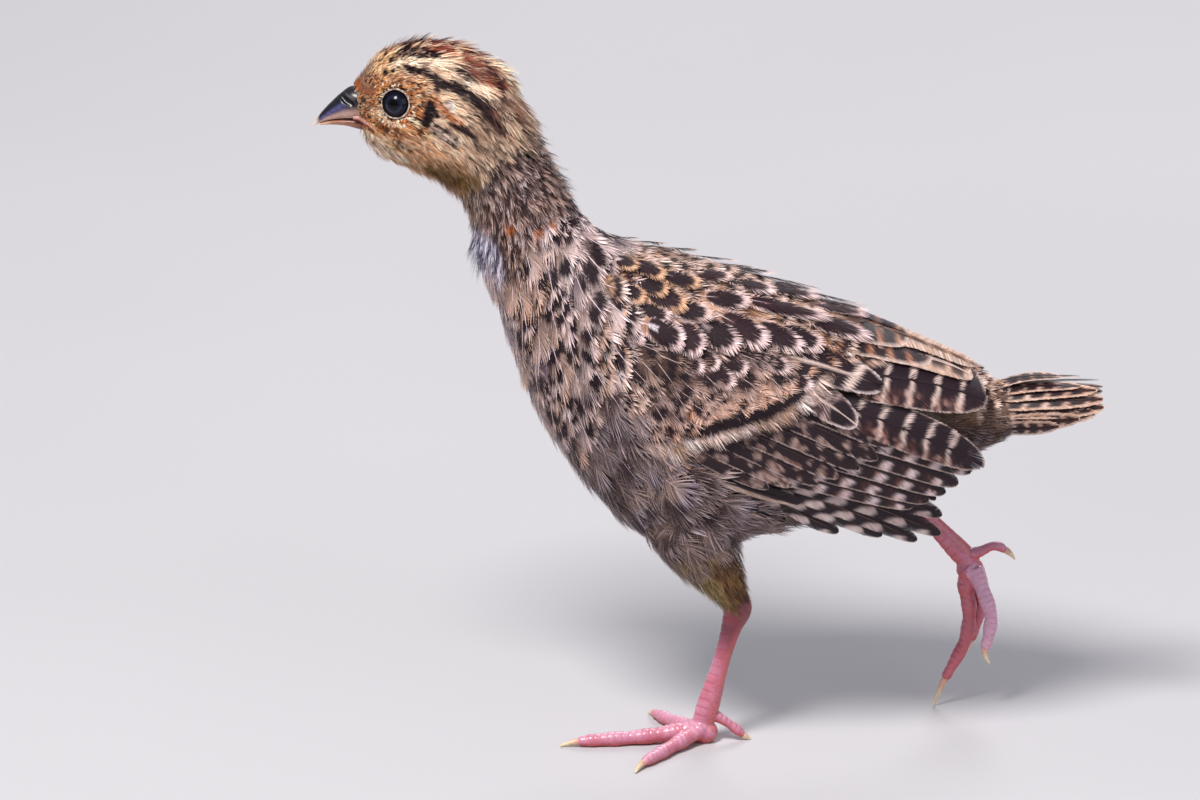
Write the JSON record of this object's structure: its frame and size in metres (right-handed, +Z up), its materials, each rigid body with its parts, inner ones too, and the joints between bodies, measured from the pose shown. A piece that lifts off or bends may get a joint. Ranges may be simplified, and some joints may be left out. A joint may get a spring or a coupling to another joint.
{
  "type": "juvenile common pheasant",
  "caption": "Still life-size model of a young common pheasant in mid stride, with folded wings, short pointed tail and pink legs.",
  "frame": {"origin": "middle of the flat sole under the standing left foot, on the floor", "axes": "+Z up from the floor; the bird looks along -X; its left side faces -Y"},
  "size_m": [0.2254, 0.0683, 0.208],
  "materials": {
    "feathers": "soft down and contour feathers",
    "flight_feathers": "smooth barred vanes",
    "face": "very short face feathers",
    "bill": "horn with a soft gloss",
    "eye": "wet and glossy",
    "leg_skin": "scaly skin with a soft gloss",
    "claw": "horn with a soft gloss"
  },
  "bodies": {
    "root": {"head": "face", "neck": "feathers", "torso": "feathers", "tail": "flight_feathers", "wing_left": "flight_feathers", "wing_right": "flight_feathers", "bill_upper": "bill", "bill_lower": "bill", "eye_left": "eye", "eye_right": "eye", "thigh_left": "feathers", "thigh_right": "feathers", "shank_left": "leg_skin", "shank_right": "leg_skin", "foot_left": "leg_skin", "foot_right": "leg_skin", "claw_left_middle": "claw", "claw_left_outer": "claw", "claw_left_inner": "claw", "claw_left_hind": "claw", "claw_right_middle": "claw", "claw_right_outer": "claw", "claw_right_inner": "claw", "claw_right_hind": "claw"}
  },
  "joints": []
}
